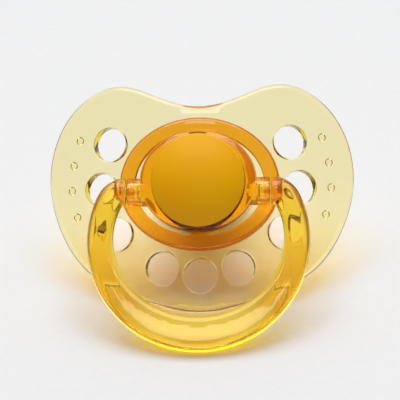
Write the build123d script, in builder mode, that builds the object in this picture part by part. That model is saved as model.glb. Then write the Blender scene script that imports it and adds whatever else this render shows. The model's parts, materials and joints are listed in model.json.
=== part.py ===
from build123d import *
import os
from math import asin, cos, radians, sin, sqrt

os.makedirs("parts", exist_ok=True)

# Butterfly pacifier, leaning back on a table: its shield's lower edge, the tip of
# its teat and the bottom of its swinging ring handle touch the table.
# Row frame: X to the object's right as seen from the front, -Y forward, +Z up.
# Object's own directions: u across, v up the shield, w out of the shield's front.
# All lengths are in millimetres and all angles in degrees.

# ---- stance ----
lean = 38.0               # shield leans back this far from upright
splay = 11.43             # ring hangs this far forward of the shield's own plane
hub_back = -0.63          # hub centre behind the row's origin, or in front where negative
hub_height = 16.15         # hub centre above the table

# ---- shield ----
shield_bend = 48.0        # radius of the front face, bent about an upright line
shield_thick = 1.8
shield_rim = 0.5          # rounding of its edges
notch_v = 12.2            # bottom of the nose notch
notch_rise = (5.4, 13.4)
lobe_top = (12.7, 15.75)
lobe_shoulder = (19.3, 12.75)
lobe_side = (23.6, 1.5)
flank = ((22.15, -5.5), (18.0, -12.3), (7.0, -18.0))
chin_v = -19.35           # lowest point of the outline
seat_r = 6.95             # flat round seat under the knob
seat_top = 0.1            # and its height above the middle of the front face
neck_hole_r = 5.8         # hole that the teat's neck passes through
vent_r = 2.6
vents = ((13.95, 6.7), (15.35, -0.25), (13.05, -7.2), (5.8, -12.7), (0.0, -13.85))
dot_r = 0.6               # small spacer dots on the side that faces the skin
dot_tall = 0.4
dots = ((19.2, 7.75), (20.25, 3.9), (20.55, 0.0), (19.65, -4.2))

# ---- collar round the knob ----
collar_out = (12.2, 10.15)
collar_in = (9.8, 7.95)
collar_tall = 1.6         # above the shield's front face
bridge_wide = 2.75        # web that joins the collar's bottom to the knob

# ---- knob and its dome ----
knob_base = (8.75, 7.7)
knob_wall_top = 4.6
knob_top = 5.2
knob_cavity_top = 3.2
dome_r = 7.0
dome_rise = 2.1
dome_edge = 0.25
stem_r = 2.3
stem_play = 0.05

# ---- hinge ----
hinge_v = -1.5
hinge_w = 3.0
boss_r = 2.1
boss_end = 10.7           # outer face of each boss
arm_end = 10.9            # inner face of each ring arm
pin_r = 1.1
pin_play = 0.05           # radial clearance of a pin in its bore
pin_tip = 8.9
bore_bottom = 8.7

# ---- ring handle ----
ring_out = (16.65, 17.07)  # semi-axes of the outer outline
ring_out_v = -7.6         # its centre, from the hinge
ring_in = (12.75, 12.2)
ring_in_v = -7.2
ring_thick = 3.0
ring_round = 1.0
shoulder_r = 4.0          # outer corner where each arm turns in to the hinge
knuckle_out = 12.6        # outer end of the round knuckle on each arm

# ---- teat ----
flange_r = 6.85
flange_thick = 1.2
flange_top = seat_top + flange_thick
teat_wall = 1.1
neck_r = 5.7
neck_bore_r = 4.5
bend_from = 8.0           # the straight neck ends here
bend_to = 14.0            # and the bulb's straight axis starts here
teat_bend = 11.6          # upward tilt of the bulb

# distance along the axis, half width, half thickness
teat_sections = (
    (2.0, 5.7, 5.7),
    (5.5, 4.8, 4.4),
    (9.5, 4.6, 3.8),
    (14.5, 6.4, 4.1),
    (19.5, 7.5, 4.5),
    (23.8, 6.5, 3.9),
    (26.4, 4.0, 2.5),
    (27.4, 1.6, 1.0),
)

# ---- plug inside the teat's neck ----
plug_head_r = 6.6
plug_head_thick = 1.3
plug_stem_r = 4.45
plug_bore_r = 3.2
plug_deep = 3.2

tiny = 0.05               # assembly gap between stacked faces
slab = 30.0               # half length of a cutter that spans the whole object

# ---- the planes that place everything ----
up_v = Vector(0, sin(radians(lean)), cos(radians(lean)))
out_w = Vector(0, -cos(radians(lean)), sin(radians(lean)))
hub = Plane(origin=(0, hub_back, hub_height), x_dir=(1, 0, 0), z_dir=out_w)


def at(u, v, w):
    """A point of the row frame, from the object's own directions."""
    return hub.from_local_coords(Vector(u, v, w))


section_uw = Plane(origin=at(0, 0, 0), x_dir=(1, 0, 0), z_dir=-up_v)
hinge_side = Plane(origin=at(0, hinge_v, hinge_w), x_dir=up_v, z_dir=(1, 0, 0))
ring_out_dir = (0, -cos(radians(lean + splay)), sin(radians(lean + splay)))
ring_plane = Plane(origin=at(0, hinge_v, hinge_w), x_dir=(1, 0, 0), z_dir=ring_out_dir)


def face_w(u):
    """Height of the shield's front face at the distance u from its middle."""
    return sqrt(shield_bend**2 - u**2) - shield_bend


def bent_section(low, high):
    """Section between two faces that are bent like the shield's front face."""
    with BuildSketch(section_uw) as section:
        with Locations((0, -shield_bend)):
            Circle(shield_bend + high)
            if low is not None:
                Circle(shield_bend + low, mode=Mode.SUBTRACT)
    return section.sketch


def across_face(u, v, w):
    """Plane on the bent front face, its normal pointing straight out of that face."""
    normal = out_w * cos(asin(u / shield_bend)) + Vector(u / shield_bend, 0, 0)
    return Plane(origin=at(u, v, face_w(u)) + normal * w, x_dir=up_v, z_dir=normal)


def both_sides(points):
    """The given points and their mirror images across the middle."""
    return [(side * u, v) for u, v in points for side in ((1, -1) if u else (1,))]


# ---- shield: bent butterfly plate with vent holes ----
half_outline = (notch_rise, lobe_top, lobe_shoulder, lobe_side, *flank)
left_outline = [(-u, v) for u, v in reversed(half_outline)]
with BuildPart() as shield:
    with BuildSketch(hub):
        with BuildLine():
            Spline((0, notch_v), *half_outline, (0, chin_v), *left_outline, periodic=True)
        make_face()
    extrude(amount=slab, both=True, clean=False)
    plate = bent_section(-shield_thick, 0)
    extrude(plate, amount=slab, both=True, mode=Mode.INTERSECT, clean=False)
    fillet(shield.edges().filter_by(GeomType.BSPLINE), shield_rim)
    with BuildSketch(hub.offset(seat_top)):
        Circle(seat_r)
    extrude(amount=-shield_thick / 2)
    with BuildSketch(hub):
        Circle(neck_hole_r)
    extrude(amount=slab, both=True, mode=Mode.SUBTRACT)
    for u, v in both_sides(vents):
        with BuildSketch(across_face(u, v, shield_thick)):
            Circle(vent_r)
        extrude(amount=-3 * shield_thick, mode=Mode.SUBTRACT)
    for u, v in both_sides(dots):
        with BuildSketch(across_face(u, v, -shield_thick - dot_tall)):
            Circle(dot_r)
        extrude(amount=2 * dot_tall)
shield.part.label = "shield"
export_step(shield.part, "parts/shield.step")


# ---- collar: low oval ring, bedded on the bent face ----
with BuildPart() as collar:
    with BuildSketch(hub.offset(-slab / 2)):
        Ellipse(*collar_out)
        Ellipse(*collar_in, mode=Mode.SUBTRACT)
        with Locations((0, -(knob_base[1] + collar_out[1]) / 2)):
            Rectangle(bridge_wide, collar_out[1] - knob_base[1])
        Ellipse(*collar_out, mode=Mode.INTERSECT)
        Ellipse(knob_base[0], knob_base[1] + tiny, mode=Mode.SUBTRACT)
    extrude(amount=slab)
    extrude(bent_section(0, collar_tall), amount=slab, both=True, mode=Mode.INTERSECT)
collar.part.label = "collar"
export_step(collar.part, "parts/collar.step")


# ---- knob: hollow drum with a hinge boss on each side ----
with BuildPart() as knob:
    with BuildSketch(hub.offset(-2)):
        Ellipse(*knob_base)
    extrude(amount=2 + knob_wall_top)
    with BuildSketch(hub.offset(knob_wall_top)):
        Ellipse(*knob_base)
    with BuildSketch(hub.offset(knob_top)):
        Circle(dome_r + 0.1)
    loft()
    with BuildSketch(hinge_side):
        Circle(boss_r)
    extrude(amount=boss_end, both=True)
    with BuildSketch(hub.offset(knob_top)):
        Circle(dome_r + 0.1)
    extrude(amount=boss_r, mode=Mode.SUBTRACT)
    with BuildSketch(hub.offset(-2)):
        Circle(seat_r + tiny)
    extrude(amount=2 + knob_cavity_top, mode=Mode.SUBTRACT)
    with BuildSketch(hub):
        Circle(stem_r + stem_play)
    extrude(amount=knob_top, mode=Mode.SUBTRACT)
    for side in (1, -1):
        with BuildSketch(hinge_side.offset(side * bore_bottom)):
            Circle(pin_r + pin_play)
        extrude(amount=side * (boss_end - bore_bottom), mode=Mode.SUBTRACT)
    extrude(bent_section(None, 0), amount=slab, both=True, mode=Mode.SUBTRACT)
knob.part.label = "knob"
export_step(knob.part, "parts/knob.step")


# ---- knob dome: satin cap on a stem that presses into the knob ----
dome_ball = (dome_r**2 + dome_rise**2) / (2 * dome_rise)
with BuildPart() as knob_dome:
    with BuildSketch(Plane(origin=at(0, 0, knob_top), x_dir=(1, 0, 0), z_dir=-up_v)):
        with BuildLine():
            Polyline(
                (0, dome_edge + dome_rise),
                (0, knob_cavity_top - knob_top),
                (stem_r, knob_cavity_top - knob_top),
                (stem_r, 0),
                (dome_r, 0),
                (dome_r, dome_edge),
            )
            RadiusArc((dome_r, dome_edge), (0, dome_edge + dome_rise), -dome_ball)
        make_face()
    revolve(axis=Axis(at(0, 0, 0), out_w))
knob_dome.part.label = "knob_dome"
export_step(knob_dome.part, "parts/knob_dome.step")


# ---- teat: hollow latex bulb, bent upward, with a clamped flange ----
def teat_plane(distance):
    """Plane across the teat's axis at this distance behind the hub."""
    turn_length = bend_to - bend_from
    turned = min(max(distance - bend_from, 0), turn_length) / turn_length
    angle = radians(teat_bend) * turned
    arc_r = turn_length / radians(teat_bend)
    back = min(distance, bend_from) + arc_r * sin(angle)
    rise = arc_r * (1 - cos(angle))
    straight = max(distance - bend_to, 0)
    back += straight * cos(angle)
    rise += straight * sin(angle)
    heading = up_v * sin(angle) - out_w * cos(angle)
    return Plane(origin=at(0, rise, -back), x_dir=(1, 0, 0), z_dir=heading)


def teat_rings(inset):
    """Ovals across the teat's axis, drawn in by the inset."""
    rings = []
    for distance, half_wide, half_thick in teat_sections:
        is_tip = distance == teat_sections[-1][0]
        with BuildSketch(teat_plane(distance - inset if is_tip else distance)) as ring:
            if is_tip:
                Ellipse(half_wide, half_thick)
            else:
                Ellipse(half_wide - inset, half_thick - inset)
        rings.append(ring.sketch)
    return rings


with BuildPart() as teat:
    with BuildSketch(hub.offset(seat_top)):
        Circle(flange_r)
    extrude(amount=flange_thick)
    with BuildSketch(hub.offset(seat_top)):
        Circle(neck_r)
    extrude(amount=-seat_top - teat_sections[0][0])
    loft(teat_rings(0))
    with BuildSketch(hub.offset(flange_top)):
        Circle(neck_bore_r)
    extrude(amount=-flange_top - teat_sections[0][0], mode=Mode.SUBTRACT)
    loft(teat_rings(teat_wall), mode=Mode.SUBTRACT)
teat.part.label = "teat"
export_step(teat.part, "parts/teat.step")


# ---- teat plug: flanged bush that holds the teat's neck open and clamps its flange ----
with BuildPart() as teat_plug:
    with BuildSketch(hub.offset(flange_top + tiny)):
        Circle(plug_head_r)
    extrude(amount=plug_head_thick)
    with BuildSketch(hub.offset(flange_top + tiny)):
        Circle(plug_stem_r)
    extrude(amount=-plug_deep)
    with BuildSketch(hub.offset(flange_top + tiny)):
        Circle(plug_bore_r)
    extrude(amount=-plug_deep, mode=Mode.SUBTRACT)
teat_plug.part.label = "teat_plug"
export_step(teat_plug.part, "parts/teat_plug.step")


# ---- ring handle: flat oval ring, open at the top, with a pin on each arm ----
def is_rim(edge):
    """True for the band's long edges, not for those of the arms' end faces."""
    return edge.geom_type != GeomType.LINE or abs(edge.tangent_at(0.5).X) > 0.9


with BuildPart() as ring_handle:
    with BuildSketch(ring_plane.offset(-ring_thick / 2)) as band:
        with Locations((0, ring_out_v)):
            Ellipse(*ring_out)
        with Locations((0, boss_r - slab)):
            Rectangle(2 * slab, 2 * slab, mode=Mode.INTERSECT)
        fillet(band.vertices(), shoulder_r)
        with Locations((0, ring_in_v)):
            Ellipse(*ring_in, mode=Mode.SUBTRACT)
        Rectangle(2 * arm_end, -2 * ring_in_v, mode=Mode.SUBTRACT)
    extrude(amount=ring_thick)
    rims = ring_handle.edges().filter_by(is_rim)
    fillet(rims, ring_round)
    for side in (1, -1):
        with BuildSketch(hinge_side.offset(side * arm_end)):
            Circle(boss_r)
        extrude(amount=side * (knuckle_out - arm_end))
        with BuildSketch(hinge_side.offset(side * pin_tip)):
            Circle(pin_r)
        extrude(amount=side * (arm_end - pin_tip))
ring_handle.part.label = "ring_handle"
export_step(ring_handle.part, "parts/ring_handle.step")
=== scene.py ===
import json
from math import asin, cos, pi, radians, sin, sqrt

import bmesh
import bpy
import numpy as np
from mathutils import Matrix, Vector
from mathutils.geometry import delaunay_2d_cdt


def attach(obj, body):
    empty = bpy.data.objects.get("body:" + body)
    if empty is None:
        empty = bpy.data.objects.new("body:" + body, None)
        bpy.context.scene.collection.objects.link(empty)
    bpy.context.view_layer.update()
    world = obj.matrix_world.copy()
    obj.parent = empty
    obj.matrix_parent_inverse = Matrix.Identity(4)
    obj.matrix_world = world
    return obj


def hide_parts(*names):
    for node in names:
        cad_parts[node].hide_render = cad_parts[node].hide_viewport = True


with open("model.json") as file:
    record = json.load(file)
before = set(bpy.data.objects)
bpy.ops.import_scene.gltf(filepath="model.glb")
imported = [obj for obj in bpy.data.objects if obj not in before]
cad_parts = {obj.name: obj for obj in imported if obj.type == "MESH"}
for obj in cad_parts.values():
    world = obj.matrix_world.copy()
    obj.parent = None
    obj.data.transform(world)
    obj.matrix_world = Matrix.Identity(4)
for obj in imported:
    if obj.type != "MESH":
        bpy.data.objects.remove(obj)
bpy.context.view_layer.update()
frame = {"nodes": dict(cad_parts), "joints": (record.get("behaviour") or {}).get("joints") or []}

# Clear amber butterfly pacifier, leaning back on a pale table.
# Shapes are worked out in millimetres along the object's own directions, u across,
# v up the shield and w out of its front, and are placed in the row frame in metres.
MM = 0.001
LEAN = radians(38.0)          # shield leans back this far from upright
SPLAY = radians(11.43)        # and the ring hangs this far forward of it
HINGE_V, HINGE_W = -1.5, 3.0  # hinge line, from the hub

# ---- shield ----
BEND = 48.0
THICK = 1.8
RIM = 0.85
VENT_RIM = 0.22
NOTCH_V, CHIN_V = 12.2, -19.35
HALF_OUTLINE = ((5.4, 13.4), (12.7, 15.75), (19.3, 12.75), (23.6, 1.5),
                (22.15, -5.5), (18.0, -12.3), (7.0, -18.0))
NECK_R = 5.8
VENT_R = 2.6
VENTS = ((13.95, 6.7), (15.35, -0.25), (13.05, -7.2), (5.8, -12.7), (0.0, -13.85))
DOT_R, DOT_TALL = 0.6, 0.4
DOT_MESH_RINGS = (0.25, 0.42, 0.52, 0.58, 0.64, 0.8)
DOT_MESH_CLEAR = 0.5          # plain mesh starts this far outside a dot
DOT_MESH_COUNT = 28
DOTS = ((19.2, 7.75), (20.25, 3.9), (20.55, 0.0), (19.65, -4.2))

# ---- collar ----
COLLAR_OUT, COLLAR_IN = (12.2, 10.15), (9.8, 7.95)
COLLAR_TALL = 1.6
COLLAR_OUT_ROUND, COLLAR_IN_ROUND = 0.6, 0.35
BRIDGE_WIDE = 2.75

# ---- knob and dome ----
KNOB_BASE = (8.75, 7.7)
KNOB_UPRIGHT_TOP, KNOB_WALL_TOP, KNOB_TOP = 3.4, 4.6, 5.2
KNOB_CAVITY_R, KNOB_CAVITY_TOP = 7.0, 3.2
DOME_R, DOME_RISE, DOME_EDGE = 7.0, 2.1, 0.25
STEM_R, STEM_HOLE_R = 2.3, 2.35
BOSS_R, BOSS_END, BOSS_ROOT = 2.1, 10.7, 7.3
BORE_R, BORE_BOTTOM = 1.15, 8.7

# ---- ring handle ----
RING_OUT, RING_OUT_V = (16.65, 17.07), -7.6
RING_IN, RING_IN_V = (12.75, 12.2), -7.2
RING_THICK, RING_RIM = 3.0, 1.25
RING_SPACING, RING_SOFTENING = 0.22, 14
ARM_END, ARM_TOP, ARM_BLEND = 10.9, 2.1, 3.2
KNUCKLE_OUT, PIN_TIP, PIN_R = 12.6, 8.9, 1.1

# ---- teat ----
TEAT_WALL = 1.1
TEAT_AROUND, TEAT_SMOOTHING = 96, 60
TEAT_TIP_FROM, TEAT_TIP_POWER = 23.8, 0.63  # where the tip starts to close, and how fully
FLANGE_R, FLANGE_LOW, FLANGE_TOP = 6.85, 0.1, 1.3
NECK_BORE_R = 4.5
BEND_FROM, BEND_TO, TEAT_BEND = 8.0, 14.0, radians(11.6)
# distance along the axis, half width and half thickness there
TEAT_SECTIONS = ((2.0, 5.7, 5.7), (5.5, 4.8, 4.4), (9.5, 4.6, 3.8), (14.5, 6.4, 4.1),
                 (19.5, 7.5, 4.5), (23.8, 6.5, 3.9), (26.4, 4.0, 2.5), (27.4, 1.6, 1.0))

GAP = 0.02                    # air between stacked clear pieces
ROUND_STEPS = 6               # facets across a quarter of a rounded edge


# ---------------------------------------------------------------- frames
def directions(angle):
    """Across, up and out of a plate that leans back by this angle."""
    across = Vector((1, 0, 0))
    up = Vector((0, sin(angle), cos(angle)))
    out = Vector((0, -cos(angle), sin(angle)))
    return across, up, out


RIGHT, UP, OUT = directions(LEAN)
hinge = Vector(frame["joints"][0]["pos_m"])
hub = hinge - (UP * HINGE_V + OUT * HINGE_W) * MM


def frame_matrix(origin, angle):
    """Object's own millimetres to the row frame, leaning back by this angle."""
    turn = Matrix(directions(angle)).transposed().to_4x4()
    return Matrix.Translation(origin) @ turn @ Matrix.Scale(MM, 4)


shield_frame = frame_matrix(hub, LEAN)
ring_frame = frame_matrix(hinge, LEAN + SPLAY)


def face_w(u):
    """Height of the shield's bent front face at the distance u from its middle."""
    return sqrt(BEND**2 - u**2) - BEND


# ---------------------------------------------------------------- outlines
def closed_spline(points, count):
    """Smooth closed curve through the points, as count points."""
    p = np.array(points, float)
    n = len(p)
    h = np.linalg.norm(np.roll(p, -1, axis=0) - p, axis=1)
    before = np.roll(h, 1)
    m = np.zeros((n, n))
    rhs = np.zeros((n, 2))
    slope = (np.roll(p, -1, axis=0) - p) / h[:, None]
    for i in range(n):
        m[i, (i - 1) % n] = before[i]
        m[i, i] = 2 * (before[i] + h[i])
        m[i, (i + 1) % n] = h[i]
        rhs[i] = 6 * (slope[i] - slope[i - 1])
    k = np.linalg.solve(m, rhs)
    knots = np.concatenate([[0], np.cumsum(h)])
    curve = []
    for t in np.linspace(0, knots[-1], count, endpoint=False):
        i = min(int(np.searchsorted(knots, t, side="right")) - 1, n - 1)
        j = (i + 1) % n
        a, b = (knots[i + 1] - t) / h[i], (t - knots[i]) / h[i]
        straight = a * p[i] + b * p[j]
        curve.append(straight + ((a**3 - a) * k[i] + (b**3 - b) * k[j]) * h[i]**2 / 6)
    return np.array(curve)


def even_loop(points, spacing):
    """The same closed line with evenly spaced points."""
    p = np.vstack([points, points[:1]])
    along = np.concatenate([[0], np.cumsum(np.linalg.norm(np.diff(p, axis=0), axis=1))])
    count = max(12, int(round(along[-1] / spacing)))
    at = np.linspace(0, along[-1], count, endpoint=False)
    return np.column_stack([np.interp(at, along, p[:, 0]), np.interp(at, along, p[:, 1])])


def softened(points, passes):
    """Rounds the corners of a closed line by averaging each point with its neighbours."""
    for _ in range(passes):
        points = (np.roll(points, 1, axis=0) + 2 * points + np.roll(points, -1, axis=0)) / 4
    return points


def circle(centre, radius, count):
    return np.array([(centre[0] + radius * cos(2 * pi * i / count),
                      centre[1] + radius * sin(2 * pi * i / count)) for i in range(count)])


def inward(loop, is_hole):
    """Unit directions from each point of the line into the material."""
    tangent = np.roll(loop, -1, axis=0) - np.roll(loop, 1, axis=0)
    tangent /= np.linalg.norm(tangent, axis=1)[:, None]
    x, y = loop[:, 0], loop[:, 1]
    turning = np.sum(x * np.roll(y, -1) - np.roll(x, -1) * y)
    side = np.sign(turning) * (-1 if is_hole else 1)
    return np.column_stack([-tangent[:, 1], tangent[:, 0]]) * side


def inside(points, loops):
    """Even-odd test of each point against all the closed lines together."""
    odd = np.zeros(len(points), bool)
    x, y = points[:, 0], points[:, 1]
    for loop in loops:
        for (x0, y0), (x1, y1) in zip(loop, np.roll(loop, -1, axis=0)):
            crosses = (y0 > y) != (y1 > y)
            with np.errstate(divide="ignore", invalid="ignore"):
                odd ^= crosses & (x < (x1 - x0) * (y - y0) / (y1 - y0) + x0)
    return odd


# ---------------------------------------------------------------- mesh builders
def rounded_plate(outline, holes, low, high, rim, hole_rim, spacing, bumps=(), bump=None):
    """Closed plate with rounded edges: its outline and holes are closed lines in 2D.
    bumps are centres on the low face, and bump gives their height at a distance."""
    loops = [(outline, rim, False)] + [(hole, hole_rim, True) for hole in holes]
    inset = [loop + inward(loop, is_hole) * edge for loop, edge, is_hole in loops]
    flat = [tuple(p) for loop in inset for p in loop]
    edges, start = [], 0
    for loop in inset:
        n = len(loop)
        edges += [(start + i, start + (i + 1) % n) for i in range(n)]
        start += n
    rims = np.vstack(inset)
    lo, hi = rims.min(0), rims.max(0)
    rows = np.arange(lo[1], hi[1], spacing * 0.866)
    grid = np.array([(x + (0.5 * spacing if j % 2 else 0), y)
                     for j, y in enumerate(rows) for x in np.arange(lo[0], hi[0], spacing)])
    grid = grid[inside(grid, inset)]
    near = np.array([np.min(np.sum((rims - g)**2, axis=1)) for g in grid])
    grid = grid[near > (0.55 * spacing)**2]
    for centre in bumps:
        grid = grid[np.sum((grid - centre)**2, axis=1) > (DOT_R + DOT_MESH_CLEAR)**2]
        for radius in DOT_MESH_RINGS:
            grid = np.vstack([grid, circle(centre, radius, DOT_MESH_COUNT)])
        grid = np.vstack([grid, [centre]])
    flat += [tuple(g) for g in grid]
    points, _, triangles, origin, _, _ = delaunay_2d_cdt(
        [Vector(p) for p in flat], edges, [], 0, 1e-7)
    centres = np.array([sum((points[i] for i in t), Vector((0, 0))) / 3 for t in triangles])
    keep = inside(centres, inset)
    triangles = [t for t, k in zip(triangles, keep) if k]
    where = {old: new for new, olds in enumerate(origin) for old in olds}

    def lift(p):
        if not len(bumps):
            return low
        nearest = min(sqrt((p[0] - c[0])**2 + (p[1] - c[1])**2) for c in bumps)
        return low - bump(nearest)

    count = len(points)
    verts = [(p[0], p[1], high) for p in points] + [(p[0], p[1], lift(p)) for p in points]
    faces = [tuple(t) for t in triangles]
    faces += [tuple(count + i for i in reversed(t)) for t in triangles]
    start = 0
    for loop, edge, is_hole in loops:
        n = len(loop)
        step_in = inward(loop, is_hole)
        rings = [[where[start + i] for i in range(n)]]
        quarter = [pi / 2 * s / ROUND_STEPS for s in range(1, ROUND_STEPS + 1)]
        profile = [(edge * (1 - sin(a)), high - edge * (1 - cos(a))) for a in quarter]
        mirrored = [(offset, low + high - height) for offset, height in reversed(profile)]
        if profile[-1][1] - mirrored[0][1] < 1e-6:
            mirrored = mirrored[1:]
        for offset, height in profile + mirrored:
            rings.append(list(range(len(verts), len(verts) + n)))
            ring = loop + step_in * offset
            verts += [(x, y, height) for x, y in ring]
        rings.append([count + where[start + i] for i in range(n)])
        for a, b in zip(rings, rings[1:]):
            faces += [(a[i], a[(i + 1) % n], b[(i + 1) % n], b[i]) for i in range(n)]
        start += n
    return verts, faces


def skin(rings, closed=False):
    """Closed surface over rings of equally many points: a lone point at an end is a pole,
    and closed joins the last ring to the first."""
    verts, index, faces = [], [], []
    for ring in rings:
        index.append(list(range(len(verts), len(verts) + len(ring))))
        verts += [tuple(p) for p in ring]
    pairs = list(zip(index, index[1:])) + ([(index[-1], index[0])] if closed else [])
    for a, b in pairs:
        n = max(len(a), len(b))
        for i in range(n):
            j = (i + 1) % n
            corners = [a[i % len(a)], a[j % len(a)], b[j % len(b)], b[i % len(b)]]
            face = [c for k, c in enumerate(corners) if c not in corners[:k]]
            faces.append(tuple(face))
    return verts, faces


def turned(profile, axis="w", centre=(0.0, 0.0), count=96):
    """Surface of revolution; the profile gives (radius, place along the axis)."""
    rings = []
    for radius, along in profile:
        spots = [(0.0, 0.0)] if radius < 1e-6 else circle((0, 0), radius, count)
        if axis == "w":
            rings.append([(centre[0] + x, centre[1] + y, along) for x, y in spots])
        else:
            rings.append([(along, centre[0] + x, centre[1] + y) for x, y in spots])
    return skin(rings)


def round_corner(a, b, c, radius, steps=4):
    """Points of an arc-like turn at b, between the directions of a and c."""
    a, b, c = Vector(a), Vector(b), Vector(c)
    p, q = b + (a - b).normalized() * radius, b + (c - b).normalized() * radius
    return [tuple(p * (1 - t)**2 + b * 2 * t * (1 - t) + q * t**2)
            for t in (s / steps for s in range(steps + 1))]


def solid(name, shape, place):
    """Mesh object from vertices in millimetres, with faces that look outward."""
    verts, faces = shape
    mesh = bpy.data.meshes.new(name)
    mesh.from_pydata([place @ Vector(v) for v in verts], [], faces)
    build = bmesh.new()
    build.from_mesh(mesh)
    bmesh.ops.remove_doubles(build, verts=build.verts, dist=1e-7)
    bmesh.ops.recalc_face_normals(build, faces=build.faces)
    if build.calc_volume(signed=True) < 0:
        bmesh.ops.reverse_faces(build, faces=build.faces)
    build.to_mesh(mesh)
    build.free()
    piece = bpy.data.objects.new(name, mesh)
    bpy.context.scene.collection.objects.link(piece)
    return piece


def joined(piece, *others):
    """The union of closed solids, in the first one."""
    for other in others:
        union = piece.modifiers.new("union", "BOOLEAN")
        union.operation = "UNION"
        union.solver = "EXACT"
        union.object = other
        graph = bpy.context.evaluated_depsgraph_get()
        mesh = bpy.data.meshes.new_from_object(piece.evaluated_get(graph))
        piece.modifiers.clear()
        piece.data = mesh
        bpy.data.objects.remove(other)
    return piece


def finished(piece, material, sharp=radians(38)):
    """Smooth shading with crisp creases, and the piece's one material."""
    for polygon in piece.data.polygons:
        polygon.use_smooth = True
    piece.data.set_sharp_from_angle(angle=sharp)
    piece.data.materials.clear()
    piece.data.materials.append(material)
    return piece


# ---------------------------------------------------------------- materials
def new_material(name):
    material = bpy.data.materials.new(name)
    material.use_nodes = True
    nodes, links = material.node_tree.nodes, material.node_tree.links
    nodes.clear()
    out = nodes.new("ShaderNodeOutputMaterial")
    shader = nodes.new("ShaderNodeBsdfPrincipled")
    links.new(shader.outputs[0], out.inputs["Surface"])
    coords = nodes.new("ShaderNodeTexCoord")
    return material, nodes, links, out, shader, coords.outputs["Object"]


def noise(nodes, links, coords, size_mm, detail=3.0, stretch=(1, 1, 1)):
    """Noise whose features are about this size in millimetres."""
    mapping = nodes.new("ShaderNodeMapping")
    mapping.inputs["Scale"].default_value = stretch
    links.new(coords, mapping.inputs["Vector"])
    texture = nodes.new("ShaderNodeTexNoise")
    texture.inputs["Scale"].default_value = 1 / (size_mm * MM)
    texture.inputs["Detail"].default_value = detail
    links.new(mapping.outputs[0], texture.inputs["Vector"])
    return texture.outputs["Fac"]


def ramp(nodes, links, value, stops):
    """Colours or greys placed along the value."""
    node = nodes.new("ShaderNodeValToRGB")
    links.new(value, node.inputs["Fac"])
    elements = node.color_ramp.elements
    while len(elements) < len(stops):
        elements.new(0.5)
    for element, (place, colour) in zip(elements, stops):
        element.position = place
        element.color = (*colour, 1) if len(colour) == 3 else (colour[0],) * 3 + (1,)
    return node.outputs["Color"]


def bumped(nodes, links, shader, height, strength, depth_mm):
    bump = nodes.new("ShaderNodeBump")
    bump.inputs["Strength"].default_value = strength
    bump.inputs["Distance"].default_value = depth_mm * MM
    links.new(height, bump.inputs["Height"])
    links.new(bump.outputs[0], shader.inputs["Normal"])


def let_light_through(nodes, links, out, shader, tint):
    """Lamps shine through the piece, so that its shadow has its own colour."""
    passing = nodes.new("ShaderNodeBsdfTransparent")
    passing.inputs["Color"].default_value = (*tint, 1)
    path = nodes.new("ShaderNodeLightPath")
    lit = nodes.new("ShaderNodeMixShader")
    links.new(path.outputs["Is Shadow Ray"], lit.inputs[0])
    links.new(shader.outputs[0], lit.inputs[1])
    links.new(passing.outputs[0], lit.inputs[2])
    links.new(lit.outputs[0], out.inputs["Surface"])


def clear_plastic(name, tint_low, tint_high, absorb, density, shadow, rough=(0.015, 0.05)):
    """Polished clear plastic: faint flow marks and clouding, coloured through its depth."""
    material, nodes, links, out, shader, coords = new_material(name)
    shader.inputs["Transmission Weight"].default_value = 1.0
    shader.inputs["IOR"].default_value = 1.5
    cloud = noise(nodes, links, coords, 9.0, 2.0)
    links.new(ramp(nodes, links, cloud, ((0.3, tint_low), (0.7, tint_high))),
              shader.inputs["Base Color"])
    haze = noise(nodes, links, coords, 3.5, 4.0, (1, 1, 2.5))
    links.new(ramp(nodes, links, haze, ((0.35, (rough[0],)), (0.75, (rough[1],)))),
              shader.inputs["Roughness"])
    flow = noise(nodes, links, coords, 5.0, 2.0, (1, 0.45, 0.45))
    bumped(nodes, links, shader, flow, 0.25, 0.06)
    let_light_through(nodes, links, out, shader, shadow)
    volume = nodes.new("ShaderNodeVolumeAbsorption")
    volume.inputs["Color"].default_value = (*absorb, 1)
    volume.inputs["Density"].default_value = density
    links.new(volume.outputs[0], out.inputs["Volume"])
    return material


def satin_plastic(name):
    """Satin dome: fine even grain, with light spreading a little under its skin."""
    material, nodes, links, _, shader, coords = new_material(name)
    shader.inputs["IOR"].default_value = 1.48
    shader.inputs["Specular IOR Level"].default_value = 0.15
    shader.inputs["Subsurface Weight"].default_value = 0.2
    shader.inputs["Subsurface Radius"].default_value = (1.0, 0.6, 0.1)
    shader.inputs["Subsurface Scale"].default_value = 1.2 * MM
    cloud = noise(nodes, links, coords, 6.0, 3.0)
    links.new(ramp(nodes, links, cloud, ((0.3, (1.0, 0.44, 0.001)), (0.7, (1.0, 0.50, 0.002)))),
              shader.inputs["Base Color"])
    grain = noise(nodes, links, coords, 0.35, 4.0)
    links.new(ramp(nodes, links, grain, ((0.3, (0.36,)), (0.7, (0.46,)))),
              shader.inputs["Roughness"])
    bumped(nodes, links, shader, grain, 0.35, 0.02)
    return material


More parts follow.
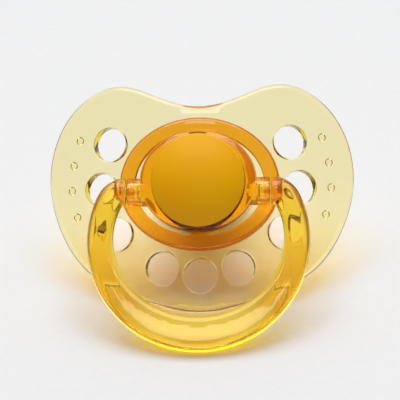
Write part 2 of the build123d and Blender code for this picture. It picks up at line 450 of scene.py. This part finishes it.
def latex(name):
    """Soft natural latex: cloudy honey colour, with a slightly tacky sheen."""
    material, nodes, links, out, shader, coords = new_material(name)
    shader.inputs["IOR"].default_value = 1.52
    shader.inputs["Transmission Weight"].default_value = 0.15
    shader.inputs["Subsurface Weight"].default_value = 0.6
    shader.inputs["Subsurface Radius"].default_value = (1.0, 0.5, 0.15)
    shader.inputs["Subsurface Scale"].default_value = 2.0 * MM
    let_light_through(nodes, links, out, shader, (0.73, 0.68, 0.28))
    cloud = noise(nodes, links, coords, 4.0, 5.0)
    links.new(ramp(nodes, links, cloud, ((0.25, (0.62, 0.31, 0.055)), (0.5, (0.74, 0.42, 0.09)),
                                         (0.8, (0.80, 0.50, 0.14)))),
              shader.inputs["Base Color"])
    skin_grain = noise(nodes, links, coords, 1.0, 2.0)
    links.new(ramp(nodes, links, skin_grain, ((0.3, (0.26,)), (0.7, (0.42,)))),
              shader.inputs["Roughness"])
    bumped(nodes, links, shader, skin_grain, 0.2, 0.03)
    return material


def table_top(name):
    """Matt white card with the faintest tooth."""
    material, nodes, links, _, shader, coords = new_material(name)
    fibre = noise(nodes, links, coords, 1.2, 6.0)
    links.new(ramp(nodes, links, fibre, ((0.3, (0.86, 0.865, 0.875)),
                                         (0.7, (0.88, 0.885, 0.895)))),
              shader.inputs["Base Color"])
    shader.inputs["Roughness"].default_value = 0.75
    shader.inputs["Specular IOR Level"].default_value = 0.2
    bumped(nodes, links, shader, fibre, 0.05, 0.03)
    return material


shield_look = clear_plastic("pale_amber", (1.0, 0.965, 0.93), (1, 0.975, 0.95),
                            absorb=(1.0, 0.89, 0.0), density=300, shadow=(0.88, 0.76, 0.40))
collar_look = clear_plastic("deep_amber", (1.0, 0.93, 0.75), (1, 0.96, 0.8),
                            absorb=(1.0, 0.80, 0.0), density=2000, shadow=(0.92, 0.74, 0.12))
knob_look = clear_plastic("knob_amber", (1.0, 0.93, 0.75), (1, 0.96, 0.8),
                          absorb=(1.0, 0.87, 0.0), density=950, shadow=(0.92, 0.74, 0.12))
ring_look = clear_plastic("ring_amber", (1.0, 0.97, 0.85), (1, 0.99, 0.9),
                          absorb=(1.0, 0.89, 0.0), density=800, shadow=(0.46, 0.40, 0.27))
plug_look = clear_plastic("plug_amber", (1.0, 0.95, 0.8), (1, 0.98, 0.88),
                          absorb=(0.98, 0.80, 0.0), density=500, shadow=(0.8, 0.6, 0.3))
dome_look = satin_plastic("satin_amber")
latex_look = latex("natural_latex")


# ---------------------------------------------------------------- pieces
def both_sides(points):
    return [(side * u, v) for u, v in points for side in ((1, -1) if u else (1,))]


def bent(verts):
    """Wraps a flat plate round the shield's upright cylinder."""
    return [((BEND + h) * sin(s / BEND), v, (BEND + h) * cos(s / BEND) - BEND)
            for s, v, h in verts]


def dot_height(distance):
    """Round-topped spacer dot."""
    return DOT_TALL * sqrt(max(0.0, 1 - (distance / (DOT_R + 0.02))**4))


def make_shield():
    left = [(-u, v) for u, v in reversed(HALF_OUTLINE)]
    outline = closed_spline([(0, NOTCH_V), *HALF_OUTLINE, (0, CHIN_V), *left], 1200)
    middle = BEND - THICK / 3
    outline[:, 0] = [BEND * asin(u / middle) for u in outline[:, 0]]
    outline = even_loop(outline, 0.3)
    holes = [circle((0, 0), NECK_R, 120)]
    holes += [circle((BEND * asin(u / BEND), v), VENT_R, 72) for u, v in both_sides(VENTS)]
    dots = [(BEND * asin(u / BEND), v) for u, v in both_sides(DOTS)]
    verts, faces = rounded_plate(outline, holes, -THICK, 0, RIM, VENT_RIM, 0.75,
                                 dots, dot_height)
    return solid("shield_clear", (bent(verts), faces), shield_frame)


def oval_ring(semi, count, height, pinch=False):
    """Oval at a height above the bent face."""
    ring = []
    for i in range(count):
        angle = 2 * pi * i / count
        u, v = semi[0] * cos(angle), semi[1] * sin(angle)
        if pinch and v < 0:
            near = min(1.0, max(0.0, (BRIDGE_WIDE / 2 + 0.1 - abs(u)) / 0.1))
            v += near * (COLLAR_IN[1] - KNOB_BASE[1] - GAP)
        ring.append((u, v, face_w(u) + height))
    return ring


def make_collar():
    count = 240
    rings = []
    wide, top = COLLAR_OUT_ROUND, COLLAR_TALL
    rings.append(oval_ring(COLLAR_OUT, count, GAP))
    for s in range(ROUND_STEPS + 1):
        a = pi / 2 * s / ROUND_STEPS
        semi = [c - wide * (1 - cos(a)) for c in COLLAR_OUT]
        rings.append(oval_ring(semi, count, top - wide * (1 - sin(a))))
    wide = COLLAR_IN_ROUND
    for s in range(ROUND_STEPS + 1):
        a = pi / 2 * s / ROUND_STEPS
        semi = [c + wide * (1 - sin(a)) for c in COLLAR_IN]
        rings.append(oval_ring(semi, count, top - wide * (1 - cos(a)), True))
    rings.append(oval_ring(COLLAR_IN, count, GAP, True))
    return solid("collar_clear", skin(rings, closed=True), shield_frame)


def make_knob():
    count = 192

    def level(semi, w):
        return [(semi[0] * cos(2 * pi * i / count), semi[1] * sin(2 * pi * i / count), w)
                for i in range(count)]

    cavity = (KNOB_CAVITY_R, KNOB_CAVITY_R)
    rings = [oval_ring(KNOB_BASE, count, GAP), level(KNOB_BASE, KNOB_UPRIGHT_TOP)]
    rim = (DOME_R + 0.1,) * 2
    shoulder = round_corner((KNOB_BASE[0], KNOB_UPRIGHT_TOP), (KNOB_BASE[0], KNOB_WALL_TOP + 0.1),
                            (rim[0], KNOB_TOP), 0.5)
    for across, w in shoulder:
        upright = (KNOB_BASE[1] - (KNOB_BASE[0] - across) *
                   (KNOB_BASE[1] - rim[1]) / (KNOB_BASE[0] - rim[0]))
        rings.append(level((across, upright), w))
    rings += [level(rim, KNOB_TOP), level((STEM_HOLE_R,) * 2, KNOB_TOP),
              level((STEM_HOLE_R,) * 2, KNOB_CAVITY_TOP), level(cavity, KNOB_CAVITY_TOP),
              oval_ring(cavity, count, GAP)]
    drum = solid("knob_clear", skin(rings, closed=True), shield_frame)
    bosses = []
    for side in (1, -1):
        profile = [(0, BOSS_ROOT), (BOSS_R, BOSS_ROOT)]
        profile += [(r, u) for u, r in round_corner((BOSS_ROOT, BOSS_R), (BOSS_END, BOSS_R),
                                                    (BOSS_END, BORE_R), 0.3)]
        profile += [(BORE_R, BOSS_END), (BORE_R, BORE_BOTTOM), (0, BORE_BOTTOM)]
        profile = [(r, side * u) for r, u in profile]
        bosses.append(solid("boss", turned(profile, "u", (HINGE_V, HINGE_W), 64), shield_frame))
    return joined(drum, *bosses)


def make_dome():
    ball = (DOME_R**2 + DOME_RISE**2) / (2 * DOME_RISE)
    low = KNOB_TOP + DOME_EDGE
    profile = [(0, low + DOME_RISE)]
    for s in range(1, 29):
        r = (DOME_R - 0.3) * s / 28
        profile.append((r, low + DOME_RISE - ball + sqrt(ball**2 - r**2)))
    edge = profile[-1]
    profile += round_corner(edge, (DOME_R, low - 0.02), (DOME_R, KNOB_TOP), 0.15)
    profile += [(DOME_R, KNOB_TOP + GAP), (STEM_R, KNOB_TOP + GAP),
                (STEM_R, KNOB_CAVITY_TOP), (0, KNOB_CAVITY_TOP)]
    return solid("dome_satin", turned(profile, count=144), shield_frame)


def soft_least(a, b, blend):
    """The lesser of two numbers, with a rounded change from one to the other."""
    share = max(blend - abs(a - b), 0) / blend
    return min(a, b) - share**2 * blend / 4


def make_ring():
    outer_from = asin(ARM_END / RING_OUT[0])
    outer = []
    for s in range(361):
        t = outer_from + (2 * pi - 2 * outer_from) * s / 360
        y = RING_OUT_V + RING_OUT[1] * cos(t)
        outer.append((RING_OUT[0] * sin(t), soft_least(y, ARM_TOP, ARM_BLEND)))
    inner_from = asin(ARM_END / RING_IN[0])
    inner = [(-ARM_END, ARM_TOP)]
    for s in range(241):
        t = 2 * pi - inner_from - (2 * pi - 2 * inner_from) * s / 240
        inner.append((RING_IN[0] * sin(t), RING_IN_V + RING_IN[1] * cos(t)))
    inner.append((ARM_END, ARM_TOP))
    outline = softened(even_loop(np.array(outer + inner), RING_SPACING), RING_SOFTENING)
    verts, faces = rounded_plate(outline, [], -RING_THICK / 2, RING_THICK / 2,
                                 RING_RIM, 0, 0.7)
    band = solid("ring_clear", (verts, faces), ring_frame)
    knuckles = []
    for side in (1, -1):
        profile = [(0, PIN_TIP), (PIN_R - 0.2, PIN_TIP), (PIN_R, PIN_TIP + 0.2),
                   (PIN_R, ARM_END)]
        profile += [(r, u) for u, r in round_corner((ARM_END, PIN_R), (ARM_END, ARM_TOP),
                                                    (KNUCKLE_OUT, ARM_TOP), 0.35)]
        profile += [(r, u) for u, r in round_corner((ARM_END, ARM_TOP), (KNUCKLE_OUT, ARM_TOP),
                                                    (KNUCKLE_OUT, 0), 0.5)]
        profile.append((0, KNUCKLE_OUT))
        profile = [(r, side * u) for r, u in profile]
        knuckles.append(solid("knuckle", turned(profile, "u", (0, 0), 64), ring_frame))
    return joined(band, *knuckles)


def teat_station(distance):
    """Centre of the teat's axis and the direction across its thickness, at this distance."""
    run = BEND_TO - BEND_FROM
    angle = TEAT_BEND * min(max(distance - BEND_FROM, 0), run) / run
    radius = run / TEAT_BEND
    straight = max(distance - BEND_TO, 0)
    back = min(distance, BEND_FROM) + radius * sin(angle) + straight * cos(angle)
    rise = radius * (1 - cos(angle)) + straight * sin(angle)
    return Vector((0, rise, -back)), Vector((0, cos(angle), sin(angle)))


def make_teat():
    count = TEAT_AROUND
    ends = np.array(TEAT_SECTIONS)
    length = ends[-1, 0] + 0.05

    def widths(distance):
        """Half width and half thickness, a smooth bulb that closes at its tip."""
        body = min(distance, TEAT_TIP_FROM)
        wide = np.interp(body, spread, shape[:, 0])
        thick = np.interp(body, spread, shape[:, 1])
        if distance > TEAT_TIP_FROM:
            done = (distance - TEAT_TIP_FROM) / (length - TEAT_TIP_FROM)
            close = max(0.0, 1 - done**2)**TEAT_TIP_POWER
            wide, thick = wide * close, thick * close
        return wide, thick

    spread = np.linspace(ends[0, 0], TEAT_TIP_FROM, 80)
    coarse = ends[:6]
    shape = np.column_stack([np.interp(spread, coarse[:, 0], coarse[:, k]) for k in (1, 2)])
    for _ in range(TEAT_SMOOTHING):
        shape[1:-1] = (shape[:-2] + 2 * shape[1:-1] + shape[2:]) / 4

    def ring_at(distance, inset):
        centre, across = teat_station(distance)
        wide, thick = widths(distance)
        wide, thick = max(wide - inset, 0.02), max(thick - inset, 0.02)
        return [centre + Vector((1, 0, 0)) * wide * cos(2 * pi * i / count) +
                across * thick * sin(2 * pi * i / count) for i in range(count)]

    def flat_ring(radius, w):
        return [(radius * cos(2 * pi * i / count), radius * sin(2 * pi * i / count), w)
                for i in range(count)]

    steps = [ends[0, 0] + (TEAT_TIP_FROM - ends[0, 0]) * s / 40 for s in range(41)]
    tip = [TEAT_TIP_FROM + (length - TEAT_TIP_FROM) * sin(pi / 2 * s / 16) for s in range(1, 16)]
    outer = [ring_at(d, 0) for d in steps + tip]
    inner_tip = [d - TEAT_WALL for d in tip if d - TEAT_WALL > TEAT_TIP_FROM + 0.1]
    inner = [ring_at(d, TEAT_WALL) for d in steps + inner_tip]
    rings = [[teat_station(length)[0]], *reversed(outer)]
    rings += [flat_ring(5.7, 0.0), flat_ring(5.75, FLANGE_LOW),
              flat_ring(FLANGE_R - 0.2, FLANGE_LOW),
              flat_ring(FLANGE_R, FLANGE_LOW + 0.2), flat_ring(FLANGE_R, FLANGE_TOP - 0.25),
              flat_ring(FLANGE_R - 0.25, FLANGE_TOP), flat_ring(NECK_BORE_R + 0.2, FLANGE_TOP),
              flat_ring(NECK_BORE_R, FLANGE_TOP - 0.2), flat_ring(NECK_BORE_R, -1.0)]
    rings += inner + [[teat_station(length - TEAT_WALL)[0]]]
    return solid("teat_latex", skin(rings), shield_frame)


pieces = (
    (make_shield, "soother", "shield", "shield_plastic", shield_look),
    (make_collar, "soother", "collar", "amber_plastic", collar_look),
    (make_knob, "soother", "knob", "amber_plastic", knob_look),
    (make_dome, "soother", "knob_dome", "dome_plastic", dome_look),
    (make_teat, "soother", "teat", "latex", latex_look),
    (make_ring, "ring", "ring_handle", "ring_plastic", ring_look),
)
for make, body, node, slot, look in pieces:
    piece = finished(make(), look)
    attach(piece, body)
    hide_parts(node)

plug = frame["nodes"]["teat_plug"]
plug.data.materials.clear()
plug.data.materials.append(plug_look)


# ---------------------------------------------------------------- set
def make_floor():
    build = bmesh.new()
    bmesh.ops.create_grid(build, x_segments=24, y_segments=24, size=3.0)
    mesh = bpy.data.meshes.new("table")
    build.to_mesh(mesh)
    build.free()
    floor = bpy.data.objects.new("table", mesh)
    bpy.context.scene.collection.objects.link(floor)
    floor.location.z = -0.03 * MM
    mesh.materials.append(table_top("white_table"))


def soft_box(name, place, target, size, power, colour):
    light = bpy.data.lights.new(name, "AREA")
    light.shape = "RECTANGLE"
    light.size, light.size_y = size
    light.energy = power
    light.color = colour
    lamp = bpy.data.objects.new(name, light)
    bpy.context.scene.collection.objects.link(lamp)
    lamp.location = place
    lamp.rotation_euler = (Vector(target) - Vector(place)).to_track_quat("-Z", "Y").to_euler()


def make_camera():
    """Camera at the photo's angle: nearly square to the shield, a little below its axis."""
    azimuth, elevation, roll = radians(2.87), radians(-7.67), radians(-0.45)
    distance, across, below = 290.0, 0.076, -2.338
    toward = (RIGHT * sin(azimuth) + OUT * cos(azimuth)) * cos(elevation) + UP * sin(elevation)
    side = UP.cross(toward).normalized()
    top = toward.cross(side)
    right = side * cos(roll) + top * sin(roll)
    above = top * cos(roll) - side * sin(roll)
    place = hub + toward * distance * MM
    target = hub + (right * across + above * below) * MM
    back = (place - target).normalized()
    right = above.cross(back).normalized()
    above = back.cross(right)
    camera = bpy.data.cameras.new("camera")
    camera.sensor_width = 36.0
    camera.lens = 171.9
    camera.clip_start = 0.01
    eye = bpy.data.objects.new("camera", camera)
    bpy.context.scene.collection.objects.link(eye)
    turn = Matrix((right, above, back)).transposed().to_4x4()
    eye.matrix_world = Matrix.Translation(place) @ turn
    bpy.context.scene.camera = eye


def make_world():
    """Bright studio overhead and behind, dark on the side of the camera."""
    world = bpy.data.worlds.new("studio")
    world.use_nodes = True
    nodes, links = world.node_tree.nodes, world.node_tree.links
    coords = nodes.new("ShaderNodeTexCoord")
    facing = nodes.new("ShaderNodeVectorMath")
    facing.operation = "DOT_PRODUCT"
    facing.inputs[1].default_value = (0, 0.5, 0.866)
    links.new(coords.outputs["Generated"], facing.inputs[0])
    sky = ramp(nodes, links, facing.outputs["Value"], ((0.3, (0.2,)), (0.95, (1.0,))))
    links.new(sky, nodes["Background"].inputs["Color"])
    nodes["Background"].inputs["Strength"].default_value = 0.62
    bpy.context.scene.world = world


make_floor()
make_camera()
make_world()
soft_box("overhead", (0.0, 0.07, 0.52), (0, 0, 0), (0.55, 0.42), 2.1, (1.0, 1.0, 1.0))
soft_box("front_fill", (-0.02, -0.32, 0.51), (0, 0, 0.01), (0.14, 0.12), 0.17,
         (1.0, 0.99, 0.97))
bpy.context.scene.view_settings.view_transform = "Standard"
